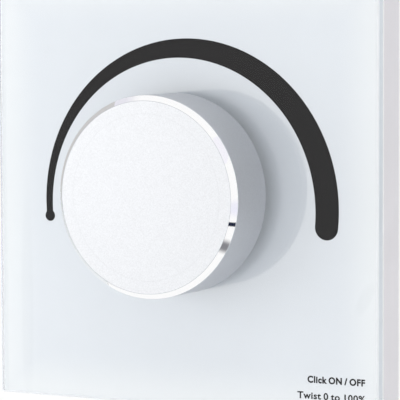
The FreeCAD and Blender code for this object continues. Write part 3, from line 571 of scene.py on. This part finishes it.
def makeLegend():
    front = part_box("glass_front")[1].y - panel["bond"] - legend["thickness"]
    for index, words in enumerate(legend["lines"]):
        text = bpy.data.curves.new(f"legendText{index}", "FONT")
        text.body = words
        text.align_x = "RIGHT"
        text.extrude = 0.5  # one unit thick, scaled to the ink below
        text.offset = legend["weights"][index]
        text.space_character = legend["spacing"]
        text.space_word = legend["wordSpacing"]
        mesh = plainMesh(f"legendLine{index}", text, Matrix.Identity(4), inkMat)
        xs = [v.co.x for v in mesh.vertices]
        ys = [v.co.y for v in mesh.vertices]
        wide = legend["widths"][index] / (max(xs) - min(xs))
        tall = legend["capHeight"] / (max(ys) - min(ys))
        mesh.transform(Matrix.Translation((-max(xs), -min(ys), 0)))
        mesh.transform(Matrix.Diagonal((wide, tall, legend["thickness"], 1)))
        place = (legend["right"], front + legend["thickness"] / 2, legend["levels"][index])
        mesh.transform(Matrix.Translation(place) @ standing)
        finishPiece(f"legendLine{index}", mesh, "wall_unit")


makeGlass()
makeEnamel()
makeCrescent()
makeLegend()
print("panel made")

# finishes of the moulded and metal parts that keep their solids

mouldLooks = {
    "whiteMould": {"color": (0.76, 0.745, 0.78), "rough": 0.5},
    # painted highlight: a lighter copy of the frame plastic, for its front bevel
    "paintedHighlightMould": {"color": (0.97, 0.97, 0.98), "rough": 0.3},
    "greyMould": {"color": (0.3, 0.31, 0.32), "rough": 0.55, "grain": 3500.0, "depth": 0.02 * mm},
    "blackMould": {"color": (0.03, 0.03, 0.032), "rough": 0.45},
    "hubNylon": {"color": (0.72, 0.71, 0.66), "rough": 0.5},
    "foamTape": {"color": (0.8, 0.8, 0.78), "rough": 0.85, "grain": 2500.0, "depth": 0.05 * mm,
                 "gloss": 0.2},
    "domeRubber": {"color": (0.2, 0.2, 0.21), "rough": 0.75, "grain": 4000.0, "depth": 0.01 * mm,
                   "gloss": 0.3},
    "boardLaminate": {"color": (0.04, 0.2, 0.11), "rough": 0.35, "grain": 1500.0, "depth": 0.006 * mm,
                      "gloss": 0.5},
    "filmCase": {"color": (0.7, 0.5, 0.12), "rough": 0.42},
    "canSleeve": {"color": (0.04, 0.05, 0.09), "rough": 0.25, "grain": 2000.0, "depth": 0.004 * mm,
                  "gloss": 0.5},
    "ferriteCore": {"color": (0.12, 0.09, 0.08), "rough": 0.6, "grain": 3000.0, "depth": 0.02 * mm},
}
plateLooks = {
    "zincSteel": {"color": (0.62, 0.62, 0.61), "rough": 0.34},
    "springSteel": {"color": (0.55, 0.55, 0.54), "rough": 0.28, "stretch": (1, 12, 1)},
    "tinnedBrass": {"color": (0.7, 0.56, 0.28), "rough": 0.32},
}
finishes = {name: mouldedPlastic(name, **look) for name, look in mouldLooks.items()}
finishes.update({name: platedMetal(name, **look) for name, look in plateLooks.items()})
finishOf = {
    "mounting_base": "whiteMould",
    "rear_housing": "greyMould",
    "bond_tape": "foamTape",
    "control_board": "boardLaminate",
    "encoder_body": "blackMould",
    "encoder_bushing": "zincSteel",
    "encoder_bracket": "zincSteel",
    "encoder_pins": "tinnedBrass",
    "encoder_rotor": "hubNylon",
    "detent_spring": "springSteel",
    "encoder_shaft": "zincSteel",
    "encoder_washer": "zincSteel",
    "encoder_nut": "zincSteel",
    "knob_hub": "hubNylon",
    "hub_clip": "springSteel",
    "terminal_block": "blackMould",
    "terminal_clamps": "tinnedBrass",
    "film_capacitor": "filmCase",
    "supply_capacitor": "canSleeve",
    "filter_choke": "ferriteCore",
    "output_transistors": "blackMould",
    "controller_chip": "blackMould",
}
for node, finish in finishOf.items():
    nodes[node].data.materials.clear()
    nodes[node].data.materials.append(finishes[finish])


tray = {"bevelSteep": -0.9, "bevelFlat": -0.3}  # faces that look forwards between these are the bevel


def makeFrame():
    # painted highlight: the bevel round the front of the frame gets a smoother, much lighter copy of the
    # frame's plastic
    mesh = mergedCopy("front_frame", "frameTray")
    mesh.materials.append(finishes["whiteMould"])
    mesh.materials.append(finishes["paintedHighlightMould"])
    for face in mesh.polygons:
        face.material_index = 1 if tray["bevelSteep"] < face.normal.y < tray["bevelFlat"] else 0
    finishPiece("frameTray", mesh, "wall_unit", ["front_frame"])


dome = {
    "pressed": 0.25,  # share of its height that is left when the knob is pushed home
    "smooth": 40,
}


def makeDome():
    mesh = mergedCopy("switch_dome", "rubberDome")
    mesh.materials.append(finishes["domeRubber"])
    smoothBelow(mesh, dome["smooth"])
    rubber = finishPiece("rubberDome", mesh, "wall_unit", ["switch_dome"])
    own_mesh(rubber)


makeFrame()
makeDome()
print("finishes set:", len(finishOf), "solids, frame and dome")

# rows of screws and the choke's winding

screwRound = {"headSides": 48, "shankSides": 40, "smooth": 35}
clampScrew = {
    "count": 3,
    "bars": 1,
    "slotReach": 2.5,  # head radii, so the slot runs right across
    "tipShare": 0.3,
    "tipRadius": 0.9 * mm,
    "slotWidth": 0.6 * mm,
    "slotDepth": 0.8 * mm,
}
housingScrew = {
    "count": 2,
    "bars": 2,
    "headRadius": 2.3 * mm,
    "headLength": 1.8 * mm,
    "shankRadius": 1.25 * mm,
    "crossWidth": 0.8 * mm,
    "crossLength": 2.8 * mm,
    "crossDepth": 1.1 * mm,
}
winding = {
    "turns": 17.5,
    "wireRadius": 0.25 * mm,
    "sunk": 0.08 * mm,
    "coreRadius": 5.2 * mm,
    "flange": 1.8 * mm,
    "turnSteps": 28,
    "wireSides": 8,
    "smooth": 60,
    "copper": {"color": (0.62, 0.25, 0.09), "rough": 0.3, "stretch": (1, 6, 1), "grain": 1500.0},
}


def newTree(name, inputs):
    tree = bpy.data.node_groups.new(name, "GeometryNodeTree")
    for label, kind in inputs.items():
        tree.interface.new_socket(label, in_out="INPUT", socket_type=f"NodeSocket{kind}")
    tree.interface.new_socket("Geometry", in_out="OUTPUT", socket_type="NodeSocketGeometry")
    return tree, tree.nodes.new("NodeGroupInput").outputs


def treeNode(tree, kind, props=None, **inputs):
    # an input is a fixed value, or a socket to link from
    node = tree.nodes.new(kind)
    for prop, value in (props or {}).items():
        setattr(node, prop, value)
    for label, value in inputs.items():
        socket = node.inputs[label.replace("_", " ")]
        if isinstance(value, bpy.types.NodeSocket):
            tree.links.new(value, socket)
        else:
            socket.default_value = value
    return node.outputs


def xyz(tree, x, y, z):
    return treeNode(tree, "ShaderNodeCombineXYZ", X=x, Y=y, Z=z)["Vector"]


def finishTree(tree, geometry, given):
    solid = treeNode(tree, "GeometryNodeRealizeInstances", Geometry=geometry)["Geometry"]
    done = treeNode(tree, "GeometryNodeSetMaterial", Geometry=solid, Material=given["Material"])
    tree.links.new(done["Geometry"], tree.nodes.new("NodeGroupOutput").inputs["Geometry"])


def grownMesh(name, tree, values):
    carrier = bpy.data.objects.new(name, bpy.data.meshes.new(name))
    scene.collection.objects.link(carrier)
    grow = carrier.modifiers.new(name, "NODES")
    grow.node_group = tree
    for item in tree.interface.items_tree:
        if item.in_out == "INPUT":
            grow[item.identifier] = values[item.name]
    graph = bpy.context.evaluated_depsgraph_get()
    mesh = bpy.data.meshes.new_from_object(carrier.evaluated_get(graph))
    carrier.modifiers.remove(grow)
    bpy.data.objects.remove(carrier)
    mesh.name = name
    return mesh


def screwTree():
    inputs = {
        "Count": "Int", "Step": "Vector", "Head Radius": "Float", "Head Length": "Float",
        "Shank Radius": "Float", "Shank Length": "Float", "Bars": "Int",
        "Bar Length": "Float", "Bar Width": "Float", "Bar Depth": "Float", "Material": "Material",
    }
    tree, given = newTree("screwRow", inputs)
    half = mathOf(tree, "MULTIPLY", given["Head Length"], 0.5)
    head = treeNode(tree, "GeometryNodeMeshCylinder", Vertices=screwRound["headSides"],
                    Radius=given["Head Radius"], Depth=given["Head Length"])["Mesh"]
    barTall = mathOf(tree, "MULTIPLY", given["Bar Depth"], 2.0)  # its upper half stands clear of the head
    barSize = xyz(tree, given["Bar Length"], given["Bar Width"], barTall)
    bar = treeNode(tree, "GeometryNodeMeshCube", Size=barSize)["Mesh"]
    spots = treeNode(tree, "GeometryNodeMeshLine", Count=given["Bars"], Offset=(0, 0, 0))["Mesh"]
    turn = mathOf(tree, "MULTIPLY", treeNode(tree, "GeometryNodeInputIndex")["Index"], math.pi / 2)
    bars = treeNode(tree, "GeometryNodeInstanceOnPoints", Points=spots, Instance=bar,
                    Rotation=xyz(tree, 0.0, 0.0, turn))["Instances"]
    cross = treeNode(tree, "GeometryNodeRealizeInstances", Geometry=bars)["Geometry"]
    recess = treeNode(tree, "GeometryNodeTransform", Geometry=cross,
                      Translation=xyz(tree, 0.0, 0.0, half))["Geometry"]
    exact = {"operation": "DIFFERENCE", "solver": "EXACT"}
    cut = treeNode(tree, "GeometryNodeMeshBoolean", exact, Mesh_1=head, Mesh_2=recess,
                   Self_Intersection=True)["Mesh"]
    shank = treeNode(tree, "GeometryNodeMeshCylinder", Vertices=screwRound["shankSides"],
                     Radius=given["Shank Radius"], Depth=given["Shank Length"])["Mesh"]
    whole = mathOf(tree, "ADD", given["Head Length"], given["Shank Length"])
    drop = xyz(tree, 0.0, 0.0, mathOf(tree, "MULTIPLY", whole, -0.5))
    shank = treeNode(tree, "GeometryNodeTransform", Geometry=shank, Translation=drop)["Geometry"]
    join = tree.nodes.new("GeometryNodeJoinGeometry")
    for part in (cut, shank):
        tree.links.new(part, join.inputs["Geometry"])
    row = treeNode(tree, "GeometryNodeMeshLine", {"mode": "OFFSET"}, Count=given["Count"],
                   Offset=given["Step"])["Mesh"]
    screws = treeNode(tree, "GeometryNodeInstanceOnPoints", Points=row, Instance=join.outputs["Geometry"])
    finishTree(tree, screws["Instances"], given)
    return tree


def windingTree():
    inputs = {
        "Turns": "Float", "Radius": "Float", "Height": "Float", "Wire": "Float", "Material": "Material",
    }
    tree, given = newTree("wireWinding", inputs)
    path = treeNode(tree, "GeometryNodeCurveSpiral", Resolution=winding["turnSteps"],
                    Rotations=given["Turns"], Start_Radius=given["Radius"],
                    End_Radius=given["Radius"], Height=given["Height"])["Curve"]
    section = treeNode(tree, "GeometryNodeCurvePrimitiveCircle", Resolution=winding["wireSides"],
                       Radius=given["Wire"])["Curve"]
    coil = treeNode(tree, "GeometryNodeCurveToMesh", Curve=path, Profile_Curve=section,
                    Fill_Caps=True)["Mesh"]
    finishTree(tree, coil, given)
    return tree


def makeClampScrews(tree):
    low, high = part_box("terminal_screws")
    radius = (high.z - low.z) / 2
    length = high.y - low.y
    tip = length * clampScrew["tipShare"]
    step = (high.x - low.x - 2 * radius) / (clampScrew["count"] - 1)
    mesh = grownMesh("clampScrews", tree, {
        "Count": clampScrew["count"], "Step": (step, 0, 0),
        "Head Radius": radius, "Head Length": length - tip,
        "Shank Radius": clampScrew["tipRadius"], "Shank Length": tip,
        "Bars": clampScrew["bars"], "Bar Length": clampScrew["slotReach"] * radius,
        "Bar Width": clampScrew["slotWidth"], "Bar Depth": clampScrew["slotDepth"],
        "Material": finishes["zincSteel"],
    })
    middle = (low.x + radius, high.y - (length - tip) / 2, (low.z + high.z) / 2)
    mesh.transform(Matrix.Translation(middle) @ standing.inverted())
    smoothBelow(mesh, screwRound["smooth"])
    finishPiece("clampScrews", mesh, "wall_unit", ["terminal_screws"])


def makeHousingScrews(tree):
    low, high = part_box("housing_screws")
    radius, head = housingScrew["headRadius"], housingScrew["headLength"]
    span = high.x - low.x - 2 * radius
    mesh = grownMesh("housingScrews", tree, {
        "Count": housingScrew["count"], "Step": (-span, -span, 0),
        "Head Radius": radius, "Head Length": head,
        "Shank Radius": housingScrew["shankRadius"], "Shank Length": high.y - low.y - head,
        "Bars": housingScrew["bars"], "Bar Length": housingScrew["crossLength"],
        "Bar Width": housingScrew["crossWidth"], "Bar Depth": housingScrew["crossDepth"],
        "Material": finishes["zincSteel"],
    })
    mesh.transform(Matrix.Translation((high.x - radius, low.y + head / 2, high.z - radius)) @ standing)
    smoothBelow(mesh, screwRound["smooth"])
    finishPiece("housingScrews", mesh, "wall_unit", ["housing_screws"])


def makeWinding():
    low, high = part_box("filter_choke")
    room = high.y - low.y - 2 * (winding["flange"] + winding["wireRadius"])
    mesh = grownMesh("chokeWinding", windingTree(), {
        "Turns": winding["turns"], "Radius": winding["coreRadius"] - winding["sunk"], "Height": room,
        "Wire": winding["wireRadius"], "Material": platedMetal("enamelledCopper", **winding["copper"]),
    })
    start = ((low.x + high.x) / 2, high.y - winding["flange"] - winding["wireRadius"], (low.z + high.z) / 2)
    mesh.transform(Matrix.Translation(start) @ standing)
    smoothBelow(mesh, winding["smooth"])
    finishPiece("chokeWinding", mesh, "wall_unit")


screwRow = screwTree()
makeClampScrews(screwRow)
makeHousingScrews(screwRow)
makeWinding()
print("screws and winding grown")

# floor, light and camera

studio = {
    "floorDrop": 30 * mm,
    "floorSize": 6.0,
    "floorColor": (0.93, 0.93, 0.93),
    "floorRough": 0.9,
    "floorGloss": 0.1,
    "floorWhite": 0.5,  # share of white that the lens sees on the floor, and shadow for the rest
    "worldWhite": 1.0,
    "ambientSide": 0.8,
    "ambientFront": 0.0,
    "ambientLean": -0.1,  # more from the left
    "ambientTall": 0.95,  # more from above and below
    "mirrorWay": (-0.4767, -0.8754, -0.0804),  # where the panel's reflection looks
    "mirrorTone": 0.95,
    "mirrorFar": 0.7,  # the tone begins this far from that way, as a cosine
    "mirrorNear": 0.93,
    "cardFade": 0.8,
    "keyPlace": (1.0, -0.8, 0.15),
    "keySize": 0.8,
    "keyPower": 0.6,
    "fillPlace": (-0.3, -0.34, -0.008),
    "fillSize": 0.32,
    "fillPower": 0.66,
}
# glowing cards that only gloss and polished metal see: painted reflections in the knob and the glass, the
# dark side card darkening the knob's side
cards = {
    "sideCard": {"place": (0.4, 0.1, 0.05), "size": (0.45, 0.8), "tone": (0.1, 0.1, 0.11)},
    "leftCard": {"place": (-0.16, 0.033, -0.002), "size": (0.085, 0.292), "tone": (0.6, 0.59, 0.59),
                 "facing": (-1, 0, 0)},
    # painted reflections: the cards only millimetres from the knob paint a grey line, a dark mark, a grey
    # streak and bluish patches into the polished chamfer
    "edgeCard": {"place": (-0.0385, -0.0132, -0.0247), "size": (0.006, 0.062), "tone": (0.4, 0.41, 0.41),
                 "facing": (-1, 0, 0), "soft": 1.0},
    "topCard": {"place": (-0.2046, 0.0007, 0.1858), "size": (0.16, 0.19), "tone": (0.8, 0.79, 0.86),
                "soft": 1.0},
    "darkMarkReflectionCard": {"place": (0.0347, -0.0329, -0.0124), "size": (0.005, 0.0019), "tone": (0.01, 0.015, 0.04)},
    "lowerBluishReflectionCard": {"place": (0.0372, -0.0327, -0.0052), "size": (0.008, 0.011), "tone": (0.87, 0.87, 0.97),
                    "soft": 1.0},
    "greyStreakReflectionCard": {"place": (0.03, -0.0317, -0.0222), "size": (0.009, 0.009), "tone": (0.24, 0.24, 0.26),
                  "soft": 1.0},
    "upperBluishReflectionCard": {"place": (0.0296, -0.033, 0.0216), "size": (0.005, 0.013), "tone": (0.93, 0.92, 0.98)},
}
view = {
    "lens": 245.5,
    "sensor": 36.0,
    "azimuth": 28.52,
    "elevation": 4.713,
    "roll": -0.24,
    "shiftRight": -3.6567 * mm,
    "shiftUp": 1.5383 * mm,
    "distance": 542.563 * mm,
    "clipNear": 0.01,
    "clipFar": 50.0,
}


def whiteView(owner, cameraShare):
    # how much the lens, metal and glass see the white, 0 for the light that falls on things
    tree = owner.node_tree
    path = addNode(owner, "ShaderNodeLightPath").outputs
    seen = mathOf(tree, "MULTIPLY", path["Is Camera Ray"], cameraShare)
    mirrored = mathOf(tree, "MAXIMUM", path["Is Glossy Ray"], path["Is Transmission Ray"])
    return mathOf(tree, "MAXIMUM", seen, mirrored)


def whiteTone(owner, way):
    # white to the lens, and a little less in the mirror direction of the panel
    along = addNode(owner, "ShaderNodeVectorMath", operation="NORMALIZE")
    wire(owner, way, along.inputs[0])
    near = addNode(owner, "ShaderNodeVectorMath", operation="DOT_PRODUCT")
    wire(owner, along.outputs["Vector"], near.inputs[0])
    near.inputs[1].default_value = studio["mirrorWay"]
    fall = remap(owner, near.outputs["Value"], studio["mirrorFar"], studio["mirrorNear"],
                 1.0, studio["mirrorTone"], "SMOOTHSTEP")
    toLens = addNode(owner, "ShaderNodeLightPath").outputs["Is Camera Ray"]
    return mathOf(owner.node_tree, "MAXIMUM", toLens, fall)


def makeWorld():
    world = bpy.data.worlds.new("studioWorld")
    world.use_nodes = True
    scene.world = world
    tree = world.node_tree
    ambient = tree.nodes["Background"]
    ambient.inputs["Color"].default_value = (1, 1, 1, 1)
    way = addNode(world, "ShaderNodeTexCoord").outputs["Generated"]
    part = addNode(world, "ShaderNodeSeparateXYZ")
    wire(world, way, part.inputs["Vector"])
    frontal = mathOf(tree, "MULTIPLY", part.outputs["Y"], part.outputs["Y"])
    fall = remap(world, frontal, 0.0, 1.0, studio["ambientSide"], studio["ambientFront"])
    lean = mathOf(tree, "ADD", mathOf(tree, "MULTIPLY", part.outputs["X"], studio["ambientLean"]), 1.0)
    upright = mathOf(tree, "MULTIPLY", part.outputs["Z"], part.outputs["Z"])
    tall = mathOf(tree, "MULTIPLY", upright, studio["ambientTall"])
    level = mathOf(tree, "ADD", mathOf(tree, "MULTIPLY", fall, lean), tall)
    wire(world, level, ambient.inputs["Strength"])
    white = addNode(world, "ShaderNodeBackground")
    white.inputs["Color"].default_value = (1, 1, 1, 1)
    wire(world, whiteTone(world, way), white.inputs["Strength"])
    blendShaders(world, whiteView(world, studio["worldWhite"]), ambient.outputs["Background"],
                 white.outputs["Background"], "World Output")


def stagePlane(name, corners, mat):
    mesh = bpy.data.meshes.new(name)
    mesh.from_pydata(corners, [], [(0, 1, 2, 3)])
    mesh.materials.append(mat)
    plane = bpy.data.objects.new(name, mesh)
    scene.collection.objects.link(plane)
    return plane


def makeFloor():
    half = studio["floorSize"] / 2
    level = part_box("glass_front")[0].z - studio["floorDrop"]
    corners = [(-half, -half, level), (half, -half, level), (half, half, level), (-half, half, level)]
    mat, bsdf = newMaterial("paleFloor", studio["floorColor"], studio["floorRough"])
    bsdf.inputs["Specular IOR Level"].default_value = studio["floorGloss"]
    glow = addNode(mat, "ShaderNodeEmission")
    way = addNode(mat, "ShaderNodeTexCoord").outputs["Object"]
    wire(mat, whiteTone(mat, way), glow.inputs["Strength"])
    blendShaders(mat, whiteView(mat, studio["floorWhite"]), bsdf.outputs["BSDF"],
                 glow.outputs["Emission"], "Material Output")
    stagePlane("paleFloor", corners, mat)


def makeCard(name, place, size, tone, soft=0.0, facing=None):
    # a glowing card that only polished metal and gloss can see, turned to face the knob, with a hard or
    # soft rim: a painted reflection, not a lamp
    facing = Vector(facing or place).to_track_quat("Z", "Y").to_matrix()
    wide, tall = facing.col[0] * size[0] / 2, facing.col[1] * size[1] / 2
    centre = Vector(place)
    corners = [centre - wide - tall, centre + wide - tall, centre + wide + tall, centre - wide + tall]
    mat = newMaterial(name, tone, 1.0)[0]
    glow = addNode(mat, "ShaderNodeEmission")
    glow.inputs["Color"].default_value = (*tone, 1.0)
    spread = addNode(mat, "ShaderNodeMapping")
    spread.inputs["Location"].default_value = (-1, -1, 0)
    spread.inputs["Scale"].default_value = (2, 2, 1)
    wire(mat, addNode(mat, "ShaderNodeTexCoord").outputs["UV"], spread.inputs["Vector"])
    ball = addNode(mat, "ShaderNodeTexGradient", gradient_type="SPHERICAL")
    wire(mat, spread.outputs["Vector"], ball.inputs["Vector"])
    rim = remap(mat, ball.outputs["Fac"], soft - 1.0, soft * studio["cardFade"], ease="SMOOTHSTEP")
    clear = addNode(mat, "ShaderNodeBsdfTransparent")
    blendShaders(mat, rim, clear.outputs["BSDF"], glow.outputs["Emission"], "Material Output")
    card = stagePlane(name, corners, mat)
    corner = card.data.uv_layers.new(name="UVMap")
    for loop, uv in enumerate(((0, 0), (1, 0), (1, 1), (0, 1))):
        corner.uv[loop].vector = uv
    card.visible_camera = False
    card.visible_diffuse = False
    card.visible_transmission = False
    card.visible_shadow = False


def makeSoftBox(name):
    lamp = bpy.data.lights.new(name, "AREA")
    lamp.shape = "SQUARE"
    lamp.size = studio[f"{name}Size"]
    lamp.energy = studio[f"{name}Power"]
    box = bpy.data.objects.new(name, lamp)
    scene.collection.objects.link(box)
    box.location = studio[f"{name}Place"]
    box.rotation_mode = "QUATERNION"
    box.rotation_quaternion = (-Vector(box.location)).to_track_quat("-Z", "Y")
    box.visible_camera = False
    box.visible_glossy = False
    box.visible_transmission = False


def makeCamera():
    az, el, roll = (math.radians(view[key]) for key in ("azimuth", "elevation", "roll"))
    back = Vector((math.sin(az) * math.cos(el), -math.cos(az) * math.cos(el), math.sin(el)))
    level = Vector((math.cos(az), math.sin(az), 0))
    upright = back.cross(level)
    right = level * math.cos(roll) + upright * math.sin(roll)
    up = upright * math.cos(roll) - level * math.sin(roll)
    target = Vector((0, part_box("glass_front")[0].y, 0))
    place = target - right * view["shiftRight"] - up * view["shiftUp"] + back * view["distance"]
    lens = bpy.data.cameras.new("photoCamera")
    lens.lens = view["lens"]
    lens.sensor_width = view["sensor"]
    lens.clip_start = view["clipNear"]
    lens.clip_end = view["clipFar"]
    camera = bpy.data.objects.new("photoCamera", lens)
    scene.collection.objects.link(camera)
    axes = Matrix((right, up, back)).transposed().to_4x4()
    camera.matrix_world = Matrix.Translation(place) @ axes
    scene.camera = camera


makeWorld()
makeFloor()
makeSoftBox("key")
makeSoftBox("fill")
for cardName, card in cards.items():
    makeCard(cardName, **card)
makeCamera()
print("studio and camera set")
